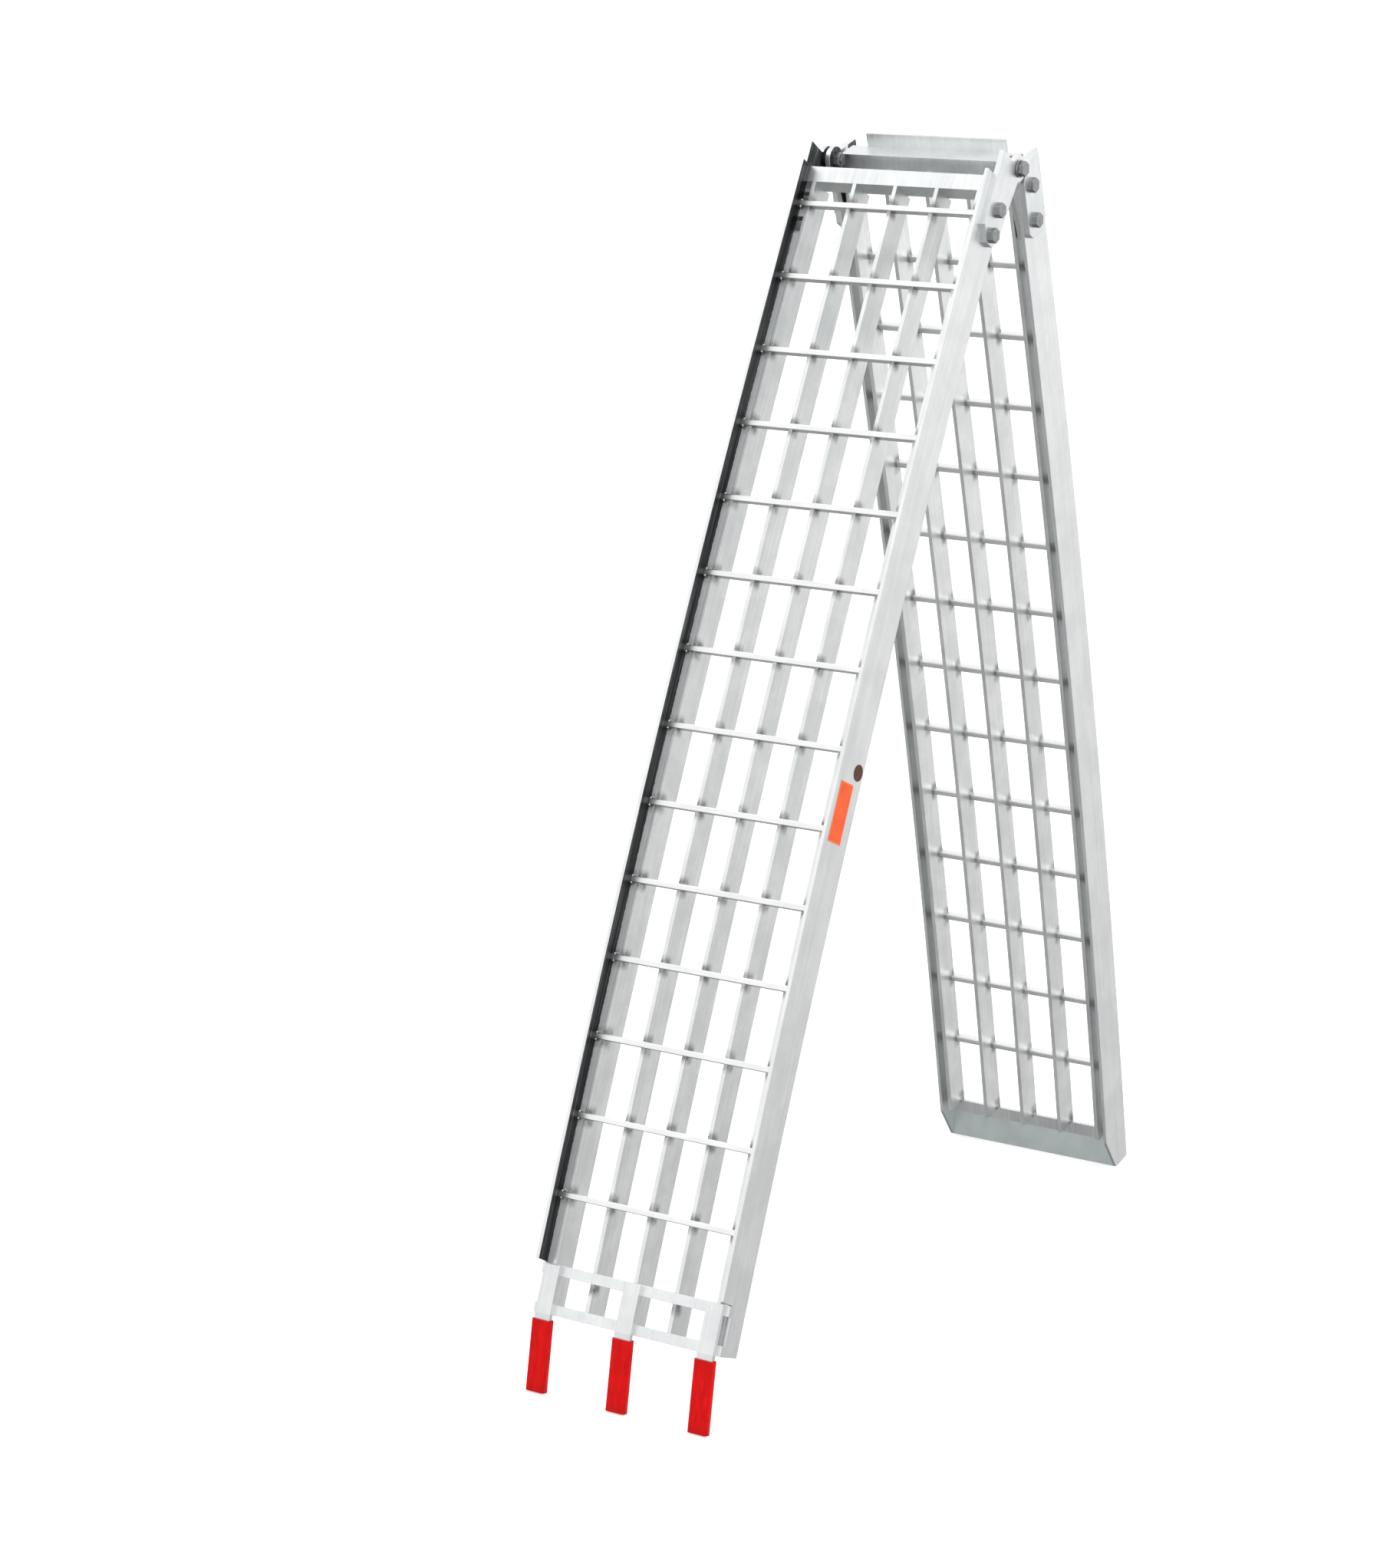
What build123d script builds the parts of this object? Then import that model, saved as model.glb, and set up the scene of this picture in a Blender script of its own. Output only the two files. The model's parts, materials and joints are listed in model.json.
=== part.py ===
from build123d import *
import math
import os

os.makedirs("parts", exist_ok=True)

# Arched bi-fold loading ramp, standing as an inverted V. X is across the ramp, Y runs from the
# finger end to the ground end, Z is up. The origin is on the floor, at the middle of the footprint.
# Each half is drawn in its own side plane: s runs down the rail from its hinge end, and v rises
# from the rail's lower edge towards the deck.

# Width and pitch
inner_width = 200.0
rail_thickness = 3.5
rail_height = 46.0
rung_pitch = 76.2
rung_count = 14
first_rung = 40.0
end_length = 44.0
rail_length = first_rung + rung_count * rung_pitch + end_length
upper_length = rail_length - 8.0
side_gap = 0.3
lower_rail_thickness = rail_thickness - side_gap
wall_inner = inner_width / 2
wall_outer = wall_inner + rail_thickness
lower_wall_outer = wall_inner + lower_rail_thickness

# Arch of each half
straight_length = 100.0
arch_radius = 10000.0

# Deck
deck_top = 31.0
rung_width = 6.0
rung_depth = 9.0
rung_proud = 1.0
bar_thickness = 4.0
bar_depth = 30.0
edge_bar_offset = 91.0
inner_bar_pitch = 45.5
bar_offsets = [-edge_bar_offset, -inner_bar_pitch, 0.0, inner_bar_pitch, edge_bar_offset]
end_tube_start = 1.0
end_tube_end = 17.0
end_tube_wall = 2.5
end_tube_depth = 24.0

# Outer ends
cross_bar_width = 10.0
cross_bar_thickness = 5.0
cross_bar_base = deck_top - cross_bar_thickness
inner_cross_bar_start = upper_length - 47.0
outer_cross_bar_start = upper_length - cross_bar_width
curb_end = inner_cross_bar_start - 3.0
ground_plate_thickness = 4.0
ground_plate_start = rail_length - 40.0
ground_bend_start = rail_length - 26.0
ground_tip_base = 19.0
chamfer_length = 38.0

# Fingers
finger_pitch = 90.0
finger_offsets = {"left": -finger_pitch, "middle": 0.0, "right": finger_pitch}
finger_width = 17.0
finger_thickness = 5.0
finger_start = inner_cross_bar_start + 1.0
finger_base = deck_top
finger_reach = 72.0
finger_bend = 12.0
sleeve_wall = 2.0
sleeve_length = 67.0

# Hinge
pivot_drop = 4.0
upper_pivot_setback = -22.0
lower_pivot_setback = 3.0
lower_lean = 16.5
ear_radius = 13.0
ear_relief_radius = 10.0
hinge_plate_thickness = 5.0
stop_plate_thickness = hinge_plate_thickness + side_gap
stop_gap = 0.2
stop_angle = 4.0
stop_base = 16.0
stop_top = 42.0
hinge_plate_base = 6.0
hinge_plate_top = 38.0
hinge_plate_end = 88.0
lug_base = 6.0
lug_top = 25.0
lug_end = 76.0
pivot_radius = 4.0
pivot_clearance = 0.05
spacer_radius = 7.0
washer_radius = 8.5
washer_thickness = 1.6
hex_radius = 7.5
head_height = 5.3
nut_height = 6.5
bolt_radius = 4.0
bolt_height = 20.0
upper_bolt_spots = [52.0, 78.0]
lower_bolt_spots = [24.0, 60.0]

# Bridge and label
bridge_width = 156.0
bridge_thickness = 3.0
bridge_overhang = 12.0
bridge_end = 15.0
label_start = 603.0
label_length = 58.0
label_base = 14.0
label_width = 24.0
label_dot_spot = 590.0
label_dot_height = 10.0
label_dot_radius = 8.0
label_thickness = 0.4


def arch_point(s, v):
    """Point of a half at length s along the rail and height v above its lower edge."""
    if s <= straight_length:
        return (s, v)
    turn = (s - straight_length) / arch_radius
    reach = arch_radius + v
    return (straight_length + reach * math.sin(turn), reach * math.cos(turn) - arch_radius)


def arch_turn(s):
    """Turn of the arch at s, in degrees towards the underside."""
    return math.degrees(max(0.0, s - straight_length) / arch_radius)


def slanted_point(start, reach, angle):
    """Point at a distance from start, turned by an angle towards the underside."""
    turn = math.radians(angle)
    return (start[0] + reach * math.cos(turn), start[1] - reach * math.sin(turn))


# The pivot height stands the lower half on the tip of its ground plate. The upper half then leans
# until the sleeves' tips reach the floor too.
ground_tip = arch_point(rail_length, ground_tip_base)
lower_angle = math.radians(lower_lean)
ground_reach = ground_tip[0] - lower_pivot_setback
ground_rise = ground_tip[1] + pivot_drop
pivot_height = ground_reach * math.cos(lower_angle) - ground_rise * math.sin(lower_angle)
finger_root = arch_point(upper_length, finger_base)
finger_angle = arch_turn(upper_length) + finger_bend
finger_tip = slanted_point(finger_root, finger_reach + sleeve_wall, finger_angle)
sleeve_underside = slanted_point(finger_tip, sleeve_wall, finger_angle + 90.0)
tip_reach = sleeve_underside[0] - upper_pivot_setback
tip_rise = sleeve_underside[1] + pivot_drop
tip_distance = math.hypot(tip_reach, tip_rise)
upper_angle = math.acos(pivot_height / tip_distance) - math.atan2(tip_rise, tip_reach)
upper_lean = math.degrees(upper_angle)
hinge_y = 116.5


def half_plane(side, lean, setback):
    """Side plane of a half; side is -1 towards the finger end and +1 towards the ground end."""
    angle = math.radians(lean)
    along = Vector(0, side * math.sin(angle), -math.cos(angle))
    rise = Vector(0, side * math.cos(angle), math.sin(angle))
    origin = Vector(0, hinge_y, pivot_height) - along * setback + rise * pivot_drop
    return Plane(origin=origin, x_dir=along, z_dir=along.cross(rise))


upper = half_plane(-1, upper_lean, upper_pivot_setback)
lower = half_plane(1, lower_lean, lower_pivot_setback)
across = {"upper": -1, "lower": 1}


def layer(plane, half, x):
    """Side plane of a half moved to the place x across the ramp."""
    return plane.offset(across[half] * x)


def finish(piece, name):
    """Label a piece and write it."""
    piece.label = name
    export_step(piece, f"parts/{name}.step")
    box = piece.bounding_box()
    boxes.append(box)


boxes = []


def rail_outline_upper():
    """Side outline of an upper rail, square at the hinge end and cut down under the cross bars."""
    with BuildLine() as outline:
        Line(arch_point(0, 0), arch_point(0, rail_height))
        Line(arch_point(0, rail_height), arch_point(straight_length, rail_height))
        curb_middle = (straight_length + curb_end) / 2
        ThreePointArc(
            arch_point(straight_length, rail_height),
            arch_point(curb_middle, rail_height),
            arch_point(curb_end, rail_height),
        )
        Line(arch_point(curb_end, rail_height), arch_point(inner_cross_bar_start, cross_bar_base))
        Line(arch_point(inner_cross_bar_start, cross_bar_base), arch_point(upper_length, cross_bar_base))
        Line(arch_point(upper_length, cross_bar_base), arch_point(upper_length, 0))
        ThreePointArc(
            arch_point(upper_length, 0),
            arch_point((straight_length + upper_length) / 2, 0),
            arch_point(straight_length, 0),
        )
        Line(arch_point(straight_length, 0), arch_point(0, 0))
    return outline.line


def rail_outline_lower():
    """Side outline of a lower rail, square at the hinge end and chamfered at the ground end."""
    chamfer_start = rail_length - chamfer_length
    with BuildLine() as outline:
        Line(arch_point(0, 0), arch_point(0, rail_height))
        Line(arch_point(0, rail_height), arch_point(straight_length, rail_height))
        ThreePointArc(
            arch_point(straight_length, rail_height),
            arch_point((straight_length + rail_length) / 2, rail_height),
            arch_point(rail_length, rail_height),
        )
        Line(arch_point(rail_length, rail_height), arch_point(rail_length, ground_tip_base))
        Line(arch_point(rail_length, ground_tip_base), arch_point(chamfer_start, 0))
        ThreePointArc(
            arch_point(chamfer_start, 0),
            arch_point((straight_length + chamfer_start) / 2, 0),
            arch_point(straight_length, 0),
        )
        Line(arch_point(straight_length, 0), arch_point(0, 0))
    return outline.line


def upper_rail(x_low, bolt_holes):
    """One upper rail, with the holes for the hinge bolts."""
    with BuildPart() as rail:
        with BuildSketch(layer(upper, "upper", x_low)):
            with BuildLine():
                add(rail_outline_upper())
            make_face()
            with Locations(*[(s + upper_pivot_setback, bolt_height - pivot_drop) for s in bolt_holes]):
                Circle(bolt_radius + pivot_clearance, mode=Mode.SUBTRACT)
        extrude(amount=across["upper"] * rail_thickness)
    return rail.part


def lower_rail(x_low, bolt_holes):
    """One lower rail, with the relief round the pivot and the holes for the hinge bolts."""
    with BuildPart() as rail:
        with BuildSketch(layer(lower, "lower", x_low)):
            with BuildLine():
                add(rail_outline_lower())
            make_face()
            with Locations((lower_pivot_setback, -pivot_drop)):
                Circle(ear_relief_radius, mode=Mode.SUBTRACT)
            with Locations(*[(s + lower_pivot_setback, bolt_height - pivot_drop) for s in bolt_holes]):
                Circle(bolt_radius + pivot_clearance, mode=Mode.SUBTRACT)
        extrude(amount=across["lower"] * lower_rail_thickness)
    return rail.part


def rung(plane, index):
    """Cross rung number index, counted from the hinge, standing square to the arch."""
    place = first_rung + (index - 1) * rung_pitch
    middle = arch_point(place, deck_top + rung_proud - rung_depth / 2)
    with BuildPart() as piece:
        with BuildSketch(plane):
            with Locations(Location((middle[0], middle[1], 0), (0, 0, -arch_turn(place)))):
                RectangleRounded(rung_width, rung_depth, 1.0)
        extrude(amount=wall_inner, both=True)
    return piece.part


upper_rungs = []
lower_rungs = []
for index in range(1, rung_count + 1):
    upper_rungs.append(rung(upper, index))
    finish(upper_rungs[-1], f"upper_rung_{index:02d}")
    lower_rungs.append(rung(lower, index))
    finish(lower_rungs[-1], f"lower_rung_{index:02d}")


def hinge_end_tube(plane, half_length):
    """Rectangular tube across the hinge end, flush with the deck bars that end against it."""
    with BuildPart() as tube:
        with BuildSketch(plane):
            with Locations((end_tube_start, deck_top - end_tube_depth)):
                Rectangle(end_tube_end - end_tube_start, end_tube_depth, align=(Align.MIN, Align.MIN))
            with Locations((end_tube_start + end_tube_wall, deck_top - end_tube_depth + end_tube_wall)):
                Rectangle(
                    end_tube_end - end_tube_start - 2 * end_tube_wall,
                    end_tube_depth - 2 * end_tube_wall,
                    align=(Align.MIN, Align.MIN),
                    mode=Mode.SUBTRACT,
                )
        extrude(amount=half_length, both=True)
    return tube.part


finish(hinge_end_tube(upper, wall_inner), "upper_hinge_end_tube")
finish(hinge_end_tube(lower, wall_inner - hinge_plate_thickness), "lower_hinge_end_tube")


def cross_bar(start, top):
    """Flat bar across the finger end, over the cut-down rails, up to a height."""
    with BuildPart() as bar:
        with BuildSketch(upper):
            Polygon(
                arch_point(start, cross_bar_base),
                arch_point(start + cross_bar_width, cross_bar_base),
                arch_point(start + cross_bar_width, top),
                arch_point(start, top),
                align=None,
            )
        extrude(amount=wall_outer, both=True)
    return bar.part


inner_cross_bar = cross_bar(inner_cross_bar_start, deck_top)
finish(inner_cross_bar, "finger_cross_bar_inner")
outer_cross_bar = cross_bar(outer_cross_bar_start, deck_top)
finish(outer_cross_bar, "finger_cross_bar_outer")

# Ground plate: between the lower rails, bent down towards its tip.
with BuildPart() as ground_plate:
    with BuildSketch(lower):
        Polygon(
            arch_point(ground_plate_start, deck_top - ground_plate_thickness),
            arch_point(ground_bend_start, deck_top - ground_plate_thickness),
            arch_point(rail_length, ground_tip_base),
            arch_point(rail_length, ground_tip_base + ground_plate_thickness),
            arch_point(ground_bend_start, deck_top),
            arch_point(ground_plate_start, deck_top),
            align=None,
        )
    extrude(amount=wall_inner, both=True)
finish(ground_plate.part, "ground_plate")

cross_bars = [inner_cross_bar, outer_cross_bar]
finish(upper_rail(-wall_outer, upper_bolt_spots).cut(*cross_bars), "upper_left_rail")
finish(upper_rail(wall_inner, upper_bolt_spots).cut(*cross_bars), "upper_right_rail")
finish(lower_rail(-lower_wall_outer, lower_bolt_spots), "lower_left_rail")
finish(lower_rail(wall_inner, lower_bolt_spots), "lower_right_rail")


def deck_bar(plane, x, end):
    """One lengthwise deck bar, which follows the arch from the hinge end tube to the outer end."""
    base = deck_top - bar_depth
    middle = (straight_length + end) / 2
    with BuildPart() as bar:
        with BuildSketch(plane.offset(x - bar_thickness / 2)):
            with BuildLine():
                Line(arch_point(end_tube_end, base), arch_point(end_tube_end, deck_top))
                Line(arch_point(end_tube_end, deck_top), arch_point(straight_length, deck_top))
                ThreePointArc(
                    arch_point(straight_length, deck_top),
                    arch_point(middle, deck_top),
                    arch_point(end, deck_top),
                )
                Line(arch_point(end, deck_top), arch_point(end, base))
                ThreePointArc(
                    arch_point(end, base),
                    arch_point(middle, base),
                    arch_point(straight_length, base),
                )
                Line(arch_point(straight_length, base), arch_point(end_tube_end, base))
            make_face()
        extrude(amount=bar_thickness)
    return bar.part


def deck_bars(plane, end, crossings):
    """The five bars of a half, notched for everything that crosses them."""
    bars = [deck_bar(plane, x, end) for x in bar_offsets]
    return Compound(children=[bar.cut(*crossings) for bar in bars])


# The notches for the cross bars are open at the top, above the bars' arched edges.
notches = [cross_bar(start, deck_top + 1.0) for start in (inner_cross_bar_start, outer_cross_bar_start)]
upper_bars = deck_bars(upper, upper_length, upper_rungs + notches)
finish(upper_bars, "upper_deck_bars")
finish(deck_bars(lower, ground_plate_start, lower_rungs), "lower_deck_bars")

# Bridge plate: a lip on the lower half that reaches over the hinge gap.
with BuildPart() as bridge_plate:
    with BuildSketch(lower):
        with Locations((-bridge_overhang, deck_top)):
            Rectangle(bridge_overhang + bridge_end, bridge_thickness, align=(Align.MIN, Align.MIN))
    extrude(amount=bridge_width / 2, both=True)
finish(bridge_plate.part, "bridge_plate")


def finger_outline(base, reach, thickness, start):
    """Side outline of a finger or its sleeve: along the plate, then bent towards the underside."""
    root = arch_point(upper_length, base)
    top_root = arch_point(upper_length, base + thickness)
    tip = slanted_point(root, reach, finger_angle)
    top_tip = slanted_point(tip, thickness, finger_angle - 90.0)
    return [start, root, tip, top_tip, top_root, (start[0], start[1] + thickness)]


def finger(x):
    """Flat bar finger that lies on both cross bars and then bends towards the underside."""
    start = arch_point(finger_start, finger_base)
    with BuildPart() as piece:
        with BuildSketch(upper.offset(-x)):
            Polygon(*finger_outline(finger_base, finger_reach, finger_thickness, start), align=None)
        extrude(amount=finger_width / 2, both=True)
    return piece.part


def sleeve(x, bar):
    """Rubber sleeve round the finger's free end, closed at the tip."""
    start = slanted_point(finger_root, finger_reach - sleeve_length, finger_angle)
    low = slanted_point(start, sleeve_wall, finger_angle + 90.0)
    end = slanted_point(low, sleeve_length + sleeve_wall, finger_angle)
    thickness = finger_thickness + 2 * sleeve_wall
    top_end = slanted_point(end, thickness, finger_angle - 90.0)
    top_start = slanted_point(low, thickness, finger_angle - 90.0)
    with BuildPart() as piece:
        with BuildSketch(upper.offset(-x)):
            Polygon(low, end, top_end, top_start, align=None)
        extrude(amount=finger_width / 2 + sleeve_wall, both=True)
        fillet(piece.edges().filter_by(lambda e: abs(e.length - sleeve_length - sleeve_wall) < 0.01), 3.0)
    return piece.part.cut(bar)


for name, x in finger_offsets.items():
    bar = finger(x)
    finish(bar.cut(upper_bars, *cross_bars), f"finger_{name}")
    finish(sleeve(x, bar), f"sleeve_{name}")


def hole(radius):
    """Round hole with running clearance, in the current sketch."""
    Circle(radius + pivot_clearance, mode=Mode.SUBTRACT)


def stop_face(v):
    """Place of the stop face at height v from the pivot; the faces meet when the ramp is open."""
    return stop_gap - v * math.tan(math.radians(stop_angle))


def plate_in_half(plane, half, setback, x_low, thickness, corners, with_ear, bolt_spots):
    """Plate beside a rail, drawn from the pivot: corners, an ear round the pivot and bolt holes."""
    with BuildPart() as plate:
        with BuildSketch(layer(plane, half, x_low)):
            Polygon(*[(u + setback, v - pivot_drop) for u, v in corners], align=None)
            if with_ear:
                with Locations((setback, -pivot_drop)):
                    Circle(ear_radius)
                    hole(pivot_radius)
            with Locations(*[(u + setback, bolt_height - pivot_drop) for u in bolt_spots]):
                hole(bolt_radius)
        extrude(amount=across[half] * thickness)
    return plate.part


upper_plate_corners = [
    (-ear_radius * 0.5, 0.0),
    (stop_face(stop_base), stop_base),
    (stop_face(hinge_plate_top), hinge_plate_top),
    (hinge_plate_end - 14.0, hinge_plate_top),
    (hinge_plate_end, hinge_plate_top - 12.0),
    (hinge_plate_end, hinge_plate_base + 8.0),
    (hinge_plate_end - 10.0, hinge_plate_base),
    (12.0, -4.0),
    (0.0, -ear_radius * 0.5),
]
lower_plate_corners = [
    (-ear_radius * 0.5, 0.0),
    (2.0, lug_top - 6.0),
    (8.0, lug_top),
    (lug_end - 8.0, lug_top),
    (lug_end, lug_top - 8.0),
    (lug_end, lug_base),
    (12.0, -4.0),
    (0.0, -ear_radius * 0.5),
]
stop_plate_corners = [
    (stop_face(stop_base), stop_base),
    (stop_face(stop_top), stop_top),
    (lug_end - 12.0, stop_top),
    (lug_end, stop_top - 12.0),
    (lug_end, lug_base + 6.0),
    (lug_end - 6.0, lug_base),
    (ear_radius + 5.0, lug_base),
]
sides = {"left": -1, "right": 1}


def low_side(side, inner, thickness):
    """Low X of a plate whose nearest face to the middle is at inner, on one side of the ramp."""
    return inner if side > 0 else -inner - thickness


for name, side in sides.items():
    upper_x = low_side(side, wall_outer, hinge_plate_thickness)
    upper_plate = plate_in_half(
        upper, "upper", upper_pivot_setback, upper_x, hinge_plate_thickness,
        upper_plate_corners, True, upper_bolt_spots,
    )
    finish(upper_plate, f"upper_{name}_hinge_plate")
    lug_x = low_side(side, wall_inner - hinge_plate_thickness, hinge_plate_thickness)
    lug = plate_in_half(
        lower, "lower", lower_pivot_setback, lug_x, hinge_plate_thickness,
        lower_plate_corners, True, lower_bolt_spots,
    )
    finish(lug, f"lower_{name}_hinge_plate")
    stop_x = low_side(side, lower_wall_outer, stop_plate_thickness)
    stop_plate = plate_in_half(
        lower, "lower", lower_pivot_setback, stop_x, stop_plate_thickness,
        stop_plate_corners, False, lower_bolt_spots,
    )
    finish(stop_plate, f"{name}_stop_plate")


def cross_plane(plane, half, setback, u, v, side, x):
    """Plane square to X at distance x from the middle, facing away from it, at u, v from the pivot."""
    local = Vector(u + setback, v - pivot_drop, across[half] * side * x)
    return Plane(origin=plane.from_local_coords(local), x_dir=(0, 0, 1), z_dir=(side, 0, 0))


def hex_bolt(seat, grip, radius, washer_space):
    """Hex bolt whose head sits on the seat plane and whose shank runs back towards the middle."""
    with BuildPart() as bolt:
        with BuildSketch(seat.offset(washer_space)):
            RegularPolygon(hex_radius, 6)
        extrude(amount=head_height)
        with BuildSketch(seat.offset(washer_space)):
            Circle(radius)
        extrude(amount=-grip - washer_space)
    return bolt.part


def ring(seat, outer, inner, height):
    """Round ring from the seat plane outwards."""
    with BuildPart() as piece:
        with BuildSketch(seat):
            Circle(outer)
            Circle(inner, mode=Mode.SUBTRACT)
        extrude(amount=height)
    return piece.part


def hex_nut(seat):
    """Hex nut from the seat plane towards the middle, with running clearance on the bolt."""
    with BuildPart() as nut:
        with BuildSketch(seat):
            RegularPolygon(hex_radius, 6)
            hole(bolt_radius)
        extrude(amount=-nut_height)
    return nut.part


bolts = {"upper_hinge_bolts": [], "lower_hinge_bolts": [], "pivot_bolts": []}
rings = {"pivot_spacers": [], "pivot_washers": []}
nuts = {"upper_hinge_nuts": [], "pivot_nuts": []}
plate_face = wall_outer + hinge_plate_thickness
lug_face = wall_inner - hinge_plate_thickness
bolt_hole = pivot_radius + pivot_clearance
for side in sides.values():
    for u in upper_bolt_spots:
        head_seat = cross_plane(upper, "upper", upper_pivot_setback, u, bolt_height, side, plate_face)
        nut_seat = cross_plane(upper, "upper", upper_pivot_setback, u, bolt_height, side, wall_inner)
        grip = plate_face - wall_inner + nut_height
        bolts["upper_hinge_bolts"].append(hex_bolt(head_seat, grip, bolt_radius, 0.0))
        nuts["upper_hinge_nuts"].append(hex_nut(nut_seat))
    for u in lower_bolt_spots:
        head_seat = cross_plane(lower, "lower", lower_pivot_setback, u, bolt_height, side, plate_face)
        bolts["lower_hinge_bolts"].append(hex_bolt(head_seat, plate_face - lug_face, bolt_radius, 0.0))
    pivot_seat = cross_plane(lower, "lower", lower_pivot_setback, 0.0, 0.0, side, plate_face + side_gap)
    spacer_seat = cross_plane(lower, "lower", lower_pivot_setback, 0.0, 0.0, side, wall_inner)
    pivot_nut_seat = cross_plane(lower, "lower", lower_pivot_setback, 0.0, 0.0, side, lug_face)
    grip = plate_face + side_gap - lug_face + nut_height + 1.5
    bolts["pivot_bolts"].append(hex_bolt(pivot_seat, grip, pivot_radius, washer_thickness))
    rings["pivot_washers"].append(ring(pivot_seat, washer_radius, bolt_hole, washer_thickness))
    rings["pivot_spacers"].append(ring(spacer_seat, spacer_radius, bolt_hole, lower_rail_thickness))
    nuts["pivot_nuts"].append(hex_nut(pivot_nut_seat))
for group in (bolts, rings, nuts):
    for name, pieces in group.items():
        finish(Compound(children=pieces), name)

# Blank label and a round spot above it, on the outer face of the right upper rail.
with BuildPart() as label:
    with BuildSketch(layer(upper, "upper", wall_outer)):
        Polygon(
            arch_point(label_start, label_base),
            arch_point(label_start + label_length, label_base),
            arch_point(label_start + label_length, label_base + label_width),
            arch_point(label_start, label_base + label_width),
            align=None,
        )
        with Locations(arch_point(label_dot_spot, label_dot_height)):
            Circle(label_dot_radius)
    extrude(amount=across["upper"] * label_thickness)
finish(label.part, "label")

low = [min(getattr(box.min, axis) for box in boxes) for axis in "XYZ"]
high = [max(getattr(box.max, axis) for box in boxes) for axis in "XYZ"]
print("upper lean", round(upper_lean, 3), "pivot height", round(pivot_height, 3))
print("low", [round(v, 2) for v in low], "high", [round(v, 2) for v in high])
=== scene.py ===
import json
import math
import random

import bmesh
import bpy
from mathutils import Matrix, Vector


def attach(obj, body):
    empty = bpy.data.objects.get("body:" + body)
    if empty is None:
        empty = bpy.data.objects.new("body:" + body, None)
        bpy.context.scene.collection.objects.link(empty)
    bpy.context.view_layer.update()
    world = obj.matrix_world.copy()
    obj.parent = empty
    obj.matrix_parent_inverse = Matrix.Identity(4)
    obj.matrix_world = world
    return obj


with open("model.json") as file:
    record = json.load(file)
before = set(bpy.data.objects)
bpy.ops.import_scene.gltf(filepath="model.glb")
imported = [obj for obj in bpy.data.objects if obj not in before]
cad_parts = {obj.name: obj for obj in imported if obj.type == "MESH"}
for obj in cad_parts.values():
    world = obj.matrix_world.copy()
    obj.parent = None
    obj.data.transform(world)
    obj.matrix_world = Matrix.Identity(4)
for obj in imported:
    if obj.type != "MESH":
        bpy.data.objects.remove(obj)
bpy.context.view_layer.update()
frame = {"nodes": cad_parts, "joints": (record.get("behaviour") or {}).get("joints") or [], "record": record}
nodes = frame["nodes"]
scene = bpy.context.scene

# ---------------------------------------------------------------- dimensions of the ramp, in metres
# Each half has its own coordinates: x across the ramp, s down the rail from its hinge end, and v
# from the rail's lower edge towards the deck. Both s and v follow the rail's arch.
PIVOT = Vector(frame["joints"][0]["pos_m"])
PIVOT_DROP = 0.004
LEAN = {"upper": math.radians(28.2375), "lower": math.radians(16.5)}
SETBACK = {"upper": -0.022, "lower": 0.003}
SIDE = {"upper": -1.0, "lower": 1.0}
STRAIGHT = 0.1
RADIUS = 10.0
WALL_INNER = 0.1

DECK_TOP = 0.031
FIRST_RUNG = 0.04
RUNG_PITCH = 0.0762
RUNG_COUNT = 14
RUNG_WIDTH = 0.006
END_LENGTH = 0.044
RAIL_LENGTH = FIRST_RUNG + RUNG_COUNT * RUNG_PITCH + END_LENGTH
GROUND_BEND = RAIL_LENGTH - 0.026

LABEL_START = 0.603
LABEL_LENGTH = 0.058
LABEL_BASE = 0.014
LABEL_WIDTH = 0.024
SPOT_END = 0.598
SLEEVE_TIP = (1.203, 1.219)

# ---------------------------------------------------------------- camera
LENS = 84.20372
SENSOR = 36.0
CAMERA_PLACE = Vector((1.7439, -3.06767, 1.40288))
CAMERA_YAW = math.radians(32.264)
CAMERA_PITCH = math.radians(14.224)


def make_camera():
    """Camera that looks down at the ramp from the front right, with the sensor along its height."""
    data = bpy.data.cameras.new("camera")
    data.sensor_fit = "AUTO"
    data.sensor_width = SENSOR
    data.lens = LENS
    data.clip_start = 0.05
    data.clip_end = 2000.0
    camera = bpy.data.objects.new("camera", data)
    scene.collection.objects.link(camera)
    forward = Vector((
        -math.sin(CAMERA_YAW) * math.cos(CAMERA_PITCH),
        math.cos(CAMERA_YAW) * math.cos(CAMERA_PITCH),
        -math.sin(CAMERA_PITCH),
    ))
    right = Vector((math.cos(CAMERA_YAW), math.sin(CAMERA_YAW), 0.0))
    up = right.cross(forward)
    turn = Matrix((right, up, -forward)).transposed()
    camera.matrix_world = Matrix.Translation(CAMERA_PLACE) @ turn.to_4x4()
    scene.camera = camera


make_camera()


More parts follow.
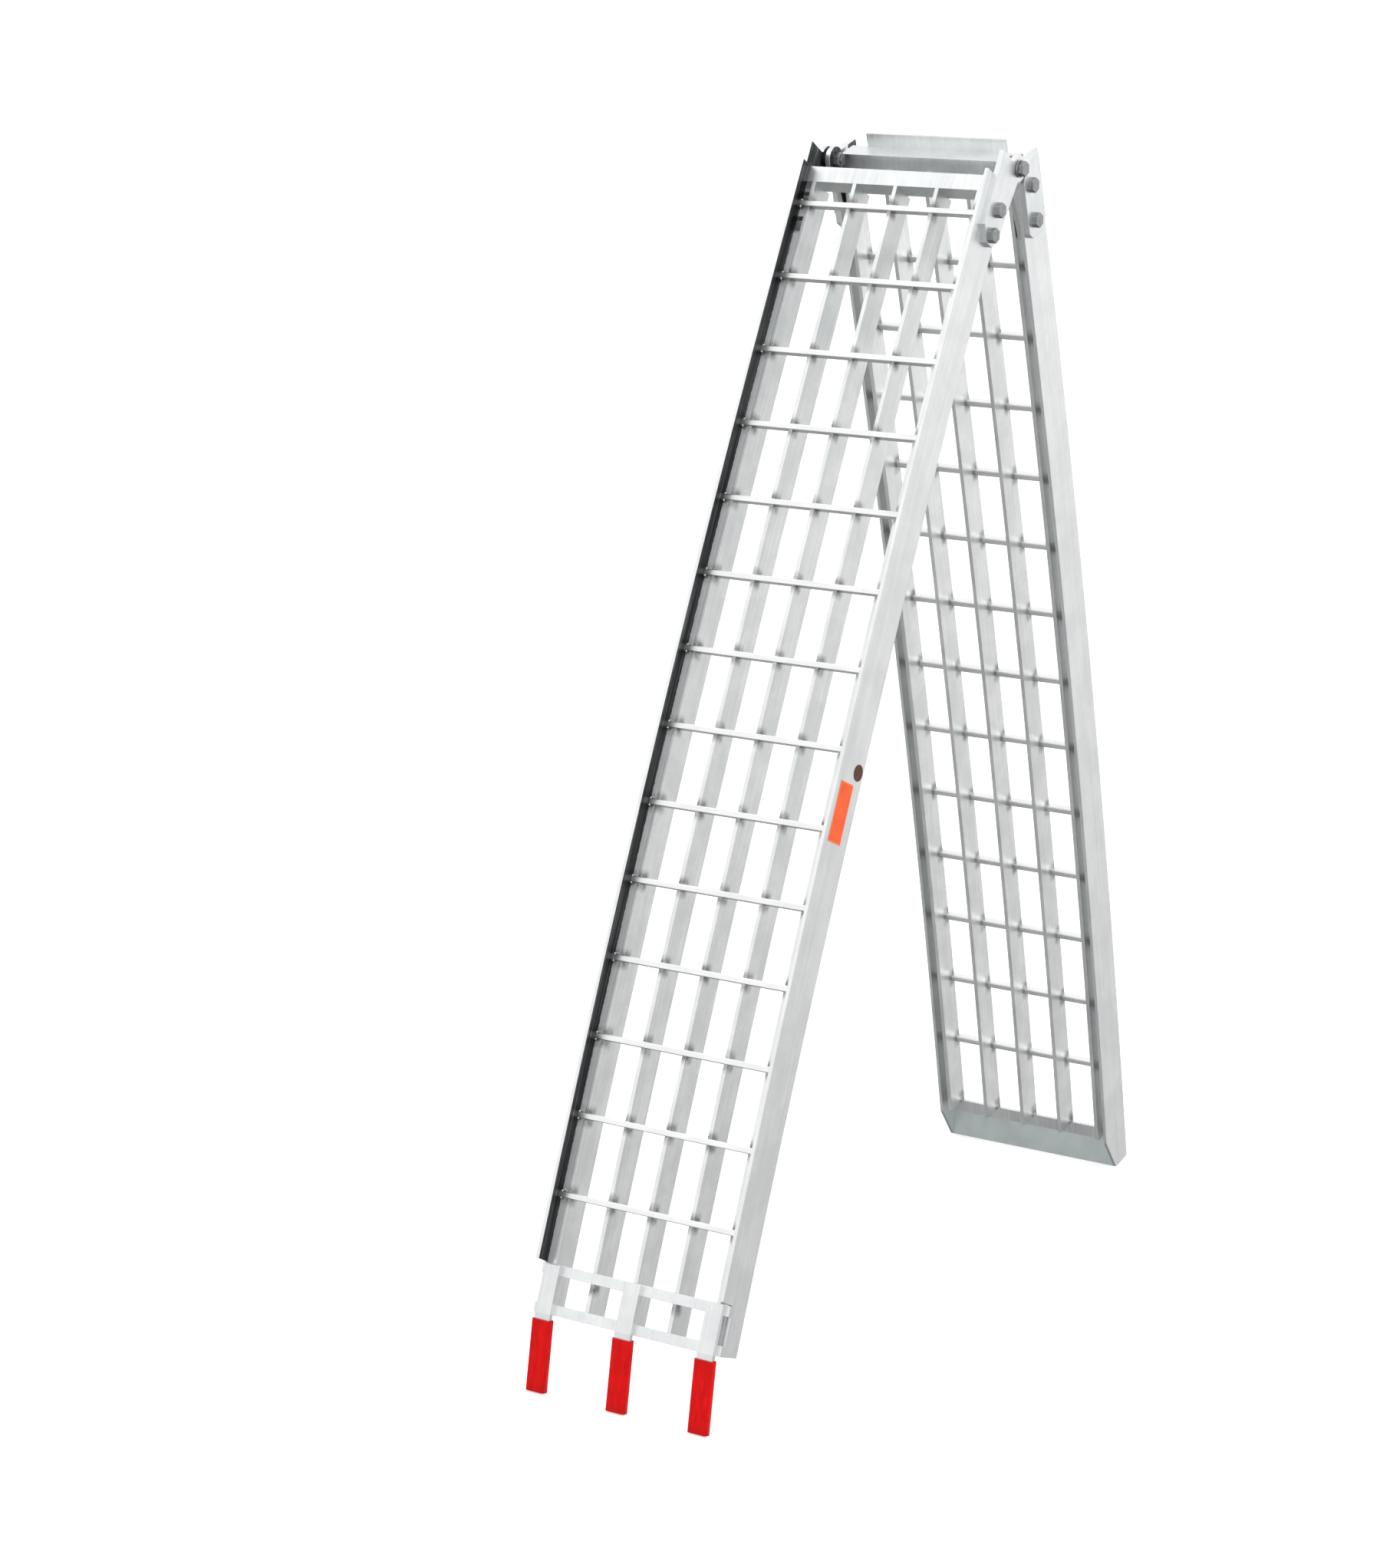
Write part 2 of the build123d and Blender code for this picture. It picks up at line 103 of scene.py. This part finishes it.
# ---------------------------------------------------------------- node graphs
class Graph:
    """Small helper that adds shader nodes and links their sockets."""

    def __init__(self, tree):
        self.tree = tree

    def node(self, kind, sockets=None, **settings):
        """New node with its settings, and with a value or a link on each named socket."""
        made = self.tree.nodes.new(kind)
        for key, value in settings.items():
            setattr(made, key, value)
        for key, value in (sockets or {}).items():
            self.set(made.inputs[key], value)
        return made

    def set(self, socket, value):
        """Link a socket to another one, or give it a plain value."""
        if isinstance(value, bpy.types.NodeSocket):
            self.tree.links.new(value, socket)
        else:
            socket.default_value = value

    def math(self, operation, *values):
        made = self.tree.nodes.new("ShaderNodeMath")
        made.operation = operation
        for socket, value in zip(made.inputs, values):
            self.set(socket, value)
        return made.outputs[0]

    def product(self, first, *others):
        """All the values multiplied together."""
        result = first
        for other in others:
            result = self.math("MULTIPLY", result, other)
        return result

    def vector(self, operation, first, second):
        return self.node("ShaderNodeVectorMath", {0: first, 1: second}, operation=operation)

    def dot(self, first, second):
        second = tuple(second) if isinstance(second, Vector) else second
        return self.vector("DOT_PRODUCT", first, second).outputs["Value"]

    def noise(self, vector, scale, detail=3.0, roughness=0.55):
        """Noise from 0 to 1, around 0.5."""
        sockets = {"Vector": vector, "Scale": scale, "Detail": detail, "Roughness": roughness}
        return self.node("ShaderNodeTexNoise", sockets).outputs["Fac"]

    def span(self, value, low, high, at_low, at_high, smooth=False):
        """Value that runs from at_low to at_high while the input runs from low to high."""
        made = self.node(
            "ShaderNodeMapRange",
            {"Value": value, "From Min": low, "From Max": high, "To Min": at_low, "To Max": at_high},
            interpolation_type="SMOOTHSTEP" if smooth else "LINEAR",
            clamp=True,
        )
        return made.outputs["Result"]

    def mix(self, factor, first, second):
        """Colour between two colours; a plain colour is given as three numbers."""
        made = self.node("ShaderNodeMix", {"Factor": factor}, data_type="RGBA", blend_type="MIX")
        colour_sockets = [socket for socket in made.inputs if socket.type == "RGBA"]
        for socket, colour in zip(colour_sockets, (first, second)):
            self.set(socket, (*colour, 1.0) if isinstance(colour, tuple) else colour)
        return [socket for socket in made.outputs if socket.type == "RGBA"][0]

    def join(self, x, y, z):
        return self.node("ShaderNodeCombineXYZ", {"X": x, "Y": y, "Z": z}).outputs[0]

    def object_place(self):
        return self.node("ShaderNodeTexCoord").outputs["Object"]

    def face_normal(self):
        return self.node("ShaderNodeNewGeometry").outputs["Normal"]

    def bump(self, height, strength, distance, normal=None):
        """Normal with a fine relief on it."""
        sockets = {"Strength": strength, "Distance": distance, "Height": height}
        if normal is not None:
            sockets["Normal"] = normal
        return self.node("ShaderNodeBump", sockets).outputs["Normal"]


# ---------------------------------------------------------------- floor and light
FLOOR_HALF = 400.0
FLOOR_WHITE = (0.9, 0.9, 0.9, 1.0)
PURE_WHITE = (1.0, 1.0, 1.0, 1.0)
FLOOR_GLOW = 0.45

# Brightness of the studio straight down, low over the floor, and above the horizon.
LEVEL_DOWN = 0.26
LEVEL_LOW = 0.70
LEVEL_UP = 1.04


def make_floor():
    """Plain pale floor that glows a little, so that it stays nearly white under the ramp."""
    mesh = bpy.data.meshes.new("floor")
    corners = [(-1, -1), (1, -1), (1, 1), (-1, 1)]
    mesh.from_pydata([(x * FLOOR_HALF, y * FLOOR_HALF, 0.0) for x, y in corners], [], [(0, 1, 2, 3)])
    floor = bpy.data.objects.new("floor", mesh)
    scene.collection.objects.link(floor)
    floor.visible_glossy = False
    material = bpy.data.materials.new("floor_white")
    material.use_nodes = True
    shader = material.node_tree.nodes["Principled BSDF"]
    shader.inputs["Base Color"].default_value = FLOOR_WHITE
    shader.inputs["Roughness"].default_value = 0.9
    shader.inputs["Specular IOR Level"].default_value = 0.0
    shader.inputs["Emission Color"].default_value = PURE_WHITE
    shader.inputs["Emission Strength"].default_value = FLOOR_GLOW
    mesh.materials.append(material)


def make_world():
    """Soft studio for the metal to mirror: bright above, grey below, and plain white in the view."""
    world = bpy.data.worlds.new("studio")
    world.use_nodes = True
    tree = world.node_tree
    graph = Graph(tree)
    direction = graph.node("ShaderNodeTexCoord").outputs["Generated"]
    height = graph.dot(direction, (0.0, 0.0, 1.0))
    below = graph.span(height, -0.75, -0.25, LEVEL_DOWN, LEVEL_LOW, smooth=True)
    above = graph.span(height, -0.32, -0.02, 0.0, LEVEL_UP - LEVEL_LOW, smooth=True)
    level = graph.math("ADD", below, above)
    seen = graph.node("ShaderNodeLightPath").outputs["Is Camera Ray"]
    background = tree.nodes["Background"]
    background.inputs["Color"].default_value = PURE_WHITE
    graph.set(background.inputs["Strength"], graph.math("MAXIMUM", level, seen))
    scene.world = world


def make_lamp(name, place, target, size, power):
    """Rectangular soft lamp that points at a target and isn't seen itself."""
    data = bpy.data.lights.new(name, "AREA")
    data.shape = "RECTANGLE"
    data.size, data.size_y = size
    data.energy = power
    lamp = bpy.data.objects.new(name, data)
    scene.collection.objects.link(lamp)
    lamp.location = place
    aim = Vector(target) - Vector(place)
    lamp.rotation_euler = aim.to_track_quat("-Z", "Y").to_euler()
    lamp.visible_camera = False


make_floor()
make_world()
make_lamp("key_light", place=(-2.6, -0.6, 3.4), target=(0.0, 0.0, 0.5), size=(1.4, 1.4), power=14.0)
make_lamp("rim_light", place=(2.6, 2.2, 2.2), target=(0.0, 0.1, 0.7), size=(0.8, 1.8), power=12.0)

scene.view_settings.view_transform = "Standard"


# ---------------------------------------------------------------- the two halves' own coordinates
def half_axes(half):
    """Origin at the rail's lower edge at the hinge, the axis down the rail and the axis to the deck."""
    side, lean = SIDE[half], LEAN[half]
    along = Vector((0.0, side * math.sin(lean), -math.cos(lean)))
    rise = Vector((0.0, side * math.cos(lean), math.sin(lean)))
    origin = PIVOT - along * SETBACK[half] + rise * PIVOT_DROP
    return origin, along, rise


def place_in_half(half, x, s, v):
    """Point of a half from its x, s and v."""
    origin, along, rise = half_axes(half)
    turn = max(0.0, s - STRAIGHT) / RADIUS
    if turn > 0.0:
        reach = RADIUS + v
        flat, high = STRAIGHT + reach * math.sin(turn), reach * math.cos(turn) - RADIUS
    else:
        flat, high = s, v
    point = origin + along * flat + rise * high
    point.x = x
    return point


def half_coordinates(graph, half):
    """Shader sockets x, s and v of the shaded point in its half."""
    origin, along, rise = half_axes(half)
    offset = graph.vector("SUBTRACT", graph.object_place(), tuple(origin)).outputs["Vector"]
    x = graph.dot(offset, (1.0, 0.0, 0.0))
    flat = graph.dot(offset, along)
    high = graph.dot(offset, rise)
    past = graph.math("MAXIMUM", graph.math("SUBTRACT", flat, STRAIGHT), 0.0)
    outer = graph.math("ADD", high, RADIUS)
    turn = graph.math("ARCTAN2", past, outer)
    before = graph.math("MINIMUM", flat, STRAIGHT)
    s = graph.math("ADD", before, graph.math("MULTIPLY", turn, RADIUS))
    squares = graph.math("ADD", graph.product(past, past), graph.product(outer, outer))
    v = graph.math("SUBTRACT", graph.math("SQRT", squares), RADIUS)
    return x, s, v


# ---------------------------------------------------------------- materials
# Grey of the painted shade beside the rung joints.
JOINT_SHADE_GREY = (0.20, 0.205, 0.21)
# Near-black of the painted shade on inner faces.
INNER_SHADE_BLACK = (0.012, 0.016, 0.018)
# Grey of the painted shade under the bent ground plate.
UNDERSIDE_SHADE_GREY = (0.36, 0.41, 0.41)
BARE_EDGE = (0.95, 0.95, 0.94)
ZINC_DARK = (0.22, 0.23, 0.24)
ZINC_LIGHT = (0.40, 0.41, 0.41)
ZINC_EDGE = (0.88, 0.88, 0.86)
RED_DARK = (0.50, 0.001, 0.001)
RED_LIGHT = (0.66, 0.001, 0.001)
RED_MOTTLE = (0.45, 0.001, 0.001)
RED_TIP = (0.36, 0.004, 0.004)
RED_EDGE = (0.9, 0.2, 0.16)
ORANGE_DARK = (0.74, 0.080, 0.010)
ORANGE_LIGHT = (0.82, 0.105, 0.014)
ORANGE_RIM = (0.84, 0.24, 0.09)
SPOT_DARK = (0.050, 0.018, 0.012)
SPOT_LIGHT = (0.11, 0.04, 0.025)


def new_material(name):
    """New material with its graph and its Principled shader."""
    material = bpy.data.materials.new(name)
    material.use_nodes = True
    shader = material.node_tree.nodes["Principled BSDF"]
    return material, Graph(material.node_tree), shader


def edge_wear(graph, radius):
    """Rounded-edge normal, and a mask that is 1 on outer edges."""
    rounded = graph.node("ShaderNodeBevel", {"Radius": radius}, samples=4).outputs[0]
    likeness = graph.dot(rounded, graph.face_normal())
    return rounded, graph.span(likeness, 0.99, 0.86, 0.0, 1.0)


# How far noise is stretched over x, s and v by the grain: down the rail, across the ramp, or plate.
GRAIN = {
    "along": (420.0, 7.0, 420.0),
    "across": (9.0, 420.0, 420.0),
    "plate": (320.0, 24.0, 320.0),
}


def joint_shade_mask(graph, place, x, s, v):
    """Painted shade on the inner faces beside each rung's welds, broken up by noise, standing in for the
    shadows where rungs meet the walls.
    """
    cell = graph.math("DIVIDE", graph.math("SUBTRACT", s, FIRST_RUNG), RUNG_PITCH)
    from_rung = graph.math("ABSOLUTE", graph.math("SUBTRACT", cell, graph.math("ROUND", cell)))
    near = graph.span(from_rung, 0.05, 0.17, 1.0, 0.0, smooth=True)
    low = graph.span(v, DECK_TOP - 0.015, DECK_TOP - 0.007, 0.0, 1.0, smooth=True)
    high = graph.span(v, DECK_TOP + 0.003, DECK_TOP + 0.009, 1.0, 0.0, smooth=True)
    broken = graph.span(graph.noise(place, 140.0, 3.0, 0.6), 0.30, 0.62, 0.35, 1.0)
    inside = graph.math("LESS_THAN", graph.math("ABSOLUTE", x), WALL_INNER + 0.0005)
    return graph.product(near, low, high, broken, inside)


def inner_shade_mask(graph, place, x, v, lines, inner_shade_from):
    """Painted dark shade, streaked along the grain, on faces that look towards the middle, above the given
    height.
    """
    sideways = graph.dot(graph.face_normal(), (1.0, 0.0, 0.0))
    outwards = graph.product(sideways, graph.math("SIGN", x))
    raggedness = graph.noise(place, 210.0, 3.0, 0.6)
    edge = graph.math("MULTIPLY_ADD", raggedness, 0.003, inner_shade_from - 0.0015)
    above = graph.math("GREATER_THAN", v, edge)
    # Grain lines streak the painted shade between nearly black and less dark.
    shade_streaks = graph.span(lines, 0.45, 0.75, 0.96, 0.72)
    return graph.product(graph.math("LESS_THAN", outwards, -0.5), above, shade_streaks)


def ground_underside_shade_mask(graph, s, cloud):
    """Painted shade on the downward-facing underside of the ground plate, past its bend."""
    _, _, rise = half_axes("lower")
    under = graph.math("LESS_THAN", graph.dot(graph.face_normal(), rise), -0.5)
    bent = graph.math("GREATER_THAN", s, GROUND_BEND)
    return graph.product(under, bent, graph.span(cloud, 0.3, 0.7, 0.75, 0.98))


def metal_material(name, half, grain, light, dark, rough, edge_radius, joint_shade=0.0, inner_shade_from=None):
    """Mill-finish aluminium: extrusion lines, cloudy oxide, painted shade beside the rung joints, on inner
    faces and under the ground plate, and worn edges.
    """
    material, graph, shader = new_material(name)
    x, s, v = half_coordinates(graph, half)
    place = graph.join(x, s, v)
    stretched = graph.vector("MULTIPLY", place, GRAIN[grain]).outputs["Vector"]
    lines = graph.noise(stretched, 1.0, 4.0, 0.62)
    cloud = graph.noise(place, 26.0, 4.0, 0.6)
    speck = graph.noise(place, 900.0, 2.0, 0.5)
    streak = graph.span(lines, 0.33, 0.68, 0.0, 1.0)
    oxide = graph.span(cloud, 0.36, 0.66, 0.0, 1.0, smooth=True)
    tone = graph.math("MULTIPLY_ADD", streak, 0.55, graph.math("MULTIPLY", oxide, 0.45))
    colour = graph.mix(tone, dark, light)
    if joint_shade > 0.0:
        # Painted shade beside each rung joint, where the rungs shade the walls.
        painted_joint_shade = graph.product(joint_shade_mask(graph, place, x, s, v), joint_shade)
        colour = graph.mix(painted_joint_shade, colour, JOINT_SHADE_GREY)
    if inner_shade_from is not None:
        # Painted shade: inner faces above the given height turn nearly black, standing in for the shadowed
        # channel beside the deck.
        inner_shade = inner_shade_mask(graph, place, x, v, lines, inner_shade_from)
        colour = graph.mix(inner_shade, colour, INNER_SHADE_BLACK)
    # Painted shade on the ground plate's underside past its bend.
    if half == "lower" and grain == "plate":
        colour = graph.mix(ground_underside_shade_mask(graph, s, cloud), colour, UNDERSIDE_SHADE_GREY)
    rounded, edges = edge_wear(graph, edge_radius)
    worn = graph.product(edges, graph.span(graph.noise(place, 260.0), 0.35, 0.60, 0.25, 0.9))
    graph.set(shader.inputs["Base Color"], graph.mix(worn, colour, BARE_EDGE))
    roughness = graph.span(lines, 0.25, 0.75, rough - 0.07, rough + 0.09)
    roughness = graph.math("MULTIPLY_ADD", cloud, 0.12, graph.math("SUBTRACT", roughness, 0.06))
    roughness = graph.math("SUBTRACT", roughness, graph.math("MULTIPLY", worn, 0.08))
    graph.set(shader.inputs["Roughness"], roughness)
    height = graph.math("MULTIPLY_ADD", lines, 0.8, graph.math("MULTIPLY", speck, 0.2))
    graph.set(shader.inputs["Normal"], graph.bump(height, 0.35, 0.00012, rounded))
    shader.inputs["Metallic"].default_value = 1.0
    return material


def zinc_material(name):
    """Zinc-plated steel: crystal patches, fine pits and brighter rounded edges."""
    material, graph, shader = new_material(name)
    place = graph.object_place()
    crystal = graph.node("ShaderNodeTexVoronoi", {"Vector": place, "Scale": 520.0}).outputs["Color"]
    patch = graph.dot(crystal, (0.33, 0.33, 0.33))
    pits = graph.noise(place, 1400.0, 3.0, 0.6)
    colour = graph.mix(patch, ZINC_DARK, ZINC_LIGHT)
    rounded, edges = edge_wear(graph, 0.0005)
    colour = graph.mix(graph.math("MULTIPLY", edges, 0.6), colour, ZINC_EDGE)
    graph.set(shader.inputs["Base Color"], colour)
    graph.set(shader.inputs["Roughness"], graph.span(pits, 0.3, 0.7, 0.24, 0.42))
    graph.set(shader.inputs["Normal"], graph.bump(pits, 0.3, 0.0001, rounded))
    shader.inputs["Metallic"].default_value = 1.0
    return material


def rubber_material(name):
    """Dipped red rubber: faint runs down the sleeve, a fine matt skin, a darker tip and scuffed edges."""
    material, graph, shader = new_material(name)
    x, s, v = half_coordinates(graph, "upper")
    place = graph.join(x, s, v)
    stretched = graph.vector("MULTIPLY", place, (260.0, 16.0, 260.0)).outputs["Vector"]
    runs = graph.noise(stretched, 1.0, 3.0, 0.5)
    skin = graph.noise(place, 1700.0, 2.0, 0.5)
    mottle = graph.noise(place, 90.0, 4.0, 0.6)
    colour = graph.mix(graph.span(runs, 0.35, 0.65, 0.0, 1.0), RED_DARK, RED_LIGHT)
    colour = graph.mix(graph.span(mottle, 0.5, 0.72, 0.0, 0.35), colour, RED_MOTTLE)
    tip = graph.span(s, *SLEEVE_TIP, 0.0, 0.55, smooth=True)
    colour = graph.mix(tip, colour, RED_TIP)
    rounded, edges = edge_wear(graph, 0.0010)
    colour = graph.mix(graph.math("MULTIPLY", edges, 0.12), colour, RED_EDGE)
    graph.set(shader.inputs["Base Color"], colour)
    graph.set(shader.inputs["Roughness"], graph.span(mottle, 0.3, 0.7, 0.36, 0.52))
    height = graph.math("MULTIPLY_ADD", runs, 0.7, graph.math("MULTIPLY", skin, 0.3))
    graph.set(shader.inputs["Normal"], graph.bump(height, 0.4, 0.0003, rounded))
    shader.inputs["Specular IOR Level"].default_value = 0.10
    return material


def rim_mask(graph, value, middle, half_size, width):
    """Worn rim of the label, a width wide inside its edge, at half_size from its middle."""
    distance = graph.math("ABSOLUTE", graph.math("SUBTRACT", value, middle))
    return graph.span(distance, half_size - width, half_size - 0.0002, 0.0, 0.7)


def label_material(name):
    """Blank vinyl label with a paler worn rim, and a plain dark round spot beside it."""
    material, graph, shader = new_material(name)
    x, s, v = half_coordinates(graph, "upper")
    place = graph.join(x, s, v)
    grain = graph.noise(place, 700.0, 3.0, 0.6)
    fade = graph.noise(place, 60.0, 3.0, 0.5)
    colour = graph.mix(graph.span(fade, 0.35, 0.65, 0.0, 1.0), ORANGE_DARK, ORANGE_LIGHT)
    half_width, half_length = LABEL_WIDTH / 2, LABEL_LENGTH / 2
    side_rim = rim_mask(graph, v, LABEL_BASE + half_width, half_width, 0.0015)
    end_rim = rim_mask(graph, s, LABEL_START + half_length, half_length, 0.0020)
    colour = graph.mix(graph.math("MAXIMUM", side_rim, end_rim), colour, ORANGE_RIM)
    spot = graph.math("LESS_THAN", s, (SPOT_END + LABEL_START) / 2)
    spot_colour = graph.mix(graph.span(grain, 0.3, 0.7, 0.0, 1.0), SPOT_DARK, SPOT_LIGHT)
    graph.set(shader.inputs["Base Color"], graph.mix(spot, colour, spot_colour))
    graph.set(shader.inputs["Roughness"], graph.span(grain, 0.3, 0.7, 0.28, 0.42))
    graph.set(shader.inputs["Normal"], graph.bump(grain, 0.15, 0.0001))
    shader.inputs["Specular IOR Level"].default_value = 0.18
    return material


# Look of each metal slot, with the height above which inner faces get the painted dark shade, and the
# strength of the painted shade beside the rung joints.
METALS = {
    "rail_aluminium": dict(
        grain="along", light=(0.94, 0.95, 0.95), dark=(0.78, 0.80, 0.805),
        rough=0.33, edge_radius=0.0006, joint_shade=0.6, inner_shade_from=0.0295,
    ),
    "rung_aluminium": dict(
        grain="across", light=(0.97, 0.97, 0.965), dark=(0.84, 0.85, 0.85),
        rough=0.30, edge_radius=0.0008,
    ),
    "bar_aluminium": dict(
        grain="along", light=(0.93, 0.94, 0.935), dark=(0.72, 0.745, 0.745),
        rough=0.34, edge_radius=0.0005, joint_shade=0.95,
    ),
    "plate_aluminium": dict(
        grain="plate", light=(0.92, 0.93, 0.93), dark=(0.74, 0.77, 0.775),
        rough=0.33, edge_radius=0.0006, inner_shade_from=-0.1,
    ),
    "finger_aluminium": dict(
        grain="along", light=(0.90, 0.91, 0.91), dark=(0.72, 0.74, 0.745),
        rough=0.34, edge_radius=0.0007,
    ),
}
materials = {}
for slot_name, look in METALS.items():
    for half_name in SIDE:
        materials[slot_name, half_name] = metal_material(f"{slot_name}_{half_name}", half_name, **look)
zinc = zinc_material("zinc_steel")
for half_name in SIDE:
    materials["zinc_steel", half_name] = zinc
materials["sleeve_rubber", "upper"] = rubber_material("sleeve_rubber")
materials["label_film", "upper"] = label_material("label_film")

slots = {part["node"]: part["material_slot"] for part in frame["record"]["subparts"]}
bodies_of = frame["record"]["behaviour"]["bodies"]
half_of = {node: body.split("_")[0] for body, members in bodies_of.items() for node in members}
for node_name, node in nodes.items():
    node.data.materials.clear()
    node.data.materials.append(materials[slots[node_name], half_of[node_name]])

# ---------------------------------------------------------------- weld beads
BEAD_RADIUS = 0.0019
BEAD_RINGS = 9
BEAD_SIDES = 8
BEAD_TAPER = 0.08
BEAD_RIPPLES = 4
RIPPLE_DEPTH = 0.16
RIPPLE_CHANCE = 0.06
BEAD_SEEDS = {"upper": 7, "lower": 11}


def add_bead(mesh, start, end, out, chance):
    """Lumpy weld bead from start to end in the corner that faces the direction out."""
    axis = (end - start).normalized()
    across = axis.cross(out).normalized()
    loops = []
    for step in range(BEAD_RINGS):
        part = step / (BEAD_RINGS - 1)
        swell = math.sin(math.pi * (BEAD_TAPER + (1.0 - 2.0 * BEAD_TAPER) * part)) ** 0.5
        ripple = 1.0 + RIPPLE_DEPTH * math.cos(part * math.pi * 2.0 * BEAD_RIPPLES)
        ripple += chance.uniform(-RIPPLE_CHANCE, RIPPLE_CHANCE)
        size = BEAD_RADIUS * swell * ripple
        centre = start + (end - start) * part
        loop = []
        for index in range(BEAD_SIDES):
            angle = 2.0 * math.pi * index / BEAD_SIDES
            spoke = out * (size * math.cos(angle)) + across * (size * math.sin(angle))
            loop.append(mesh.verts.new(centre + spoke))
        loops.append(loop)
    for first, second in zip(loops, loops[1:]):
        for index in range(BEAD_SIDES):
            after = (index + 1) % BEAD_SIDES
            mesh.faces.new((first[index], first[after], second[after], second[index]))
    mesh.faces.new(loops[0][::-1])
    mesh.faces.new(loops[-1])


def make_weld_beads(half):
    """Weld beads above and below each rung of a half, at both rails."""
    chance = random.Random(BEAD_SEEDS[half])
    _, along, _ = half_axes(half)
    mesh = bmesh.new()
    for index in range(RUNG_COUNT):
        s = FIRST_RUNG + index * RUNG_PITCH
        for side in (-1.0, 1.0):
            x = side * (WALL_INNER - 0.0004)
            for edge in (-1.0, 1.0):
                bead_s = s + edge * (RUNG_WIDTH / 2 + 0.0003)
                start = place_in_half(half, x, bead_s, DECK_TOP - 0.0075)
                end = place_in_half(half, x, bead_s, DECK_TOP + 0.0005)
                out = (Vector((-side, 0.0, 0.0)) + along * edge).normalized()
                add_bead(mesh, start, end, out, chance)
    bmesh.ops.recalc_face_normals(mesh, faces=mesh.faces)
    data = bpy.data.meshes.new(f"{half}_weld_beads")
    mesh.to_mesh(data)
    mesh.free()
    for face in data.polygons:
        face.use_smooth = True
    beads = bpy.data.objects.new(f"{half}_weld_beads", data)
    scene.collection.objects.link(beads)
    data.materials.append(materials["rung_aluminium", half])
    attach(beads, f"{half}_half")


for half_name in SIDE:
    make_weld_beads(half_name)
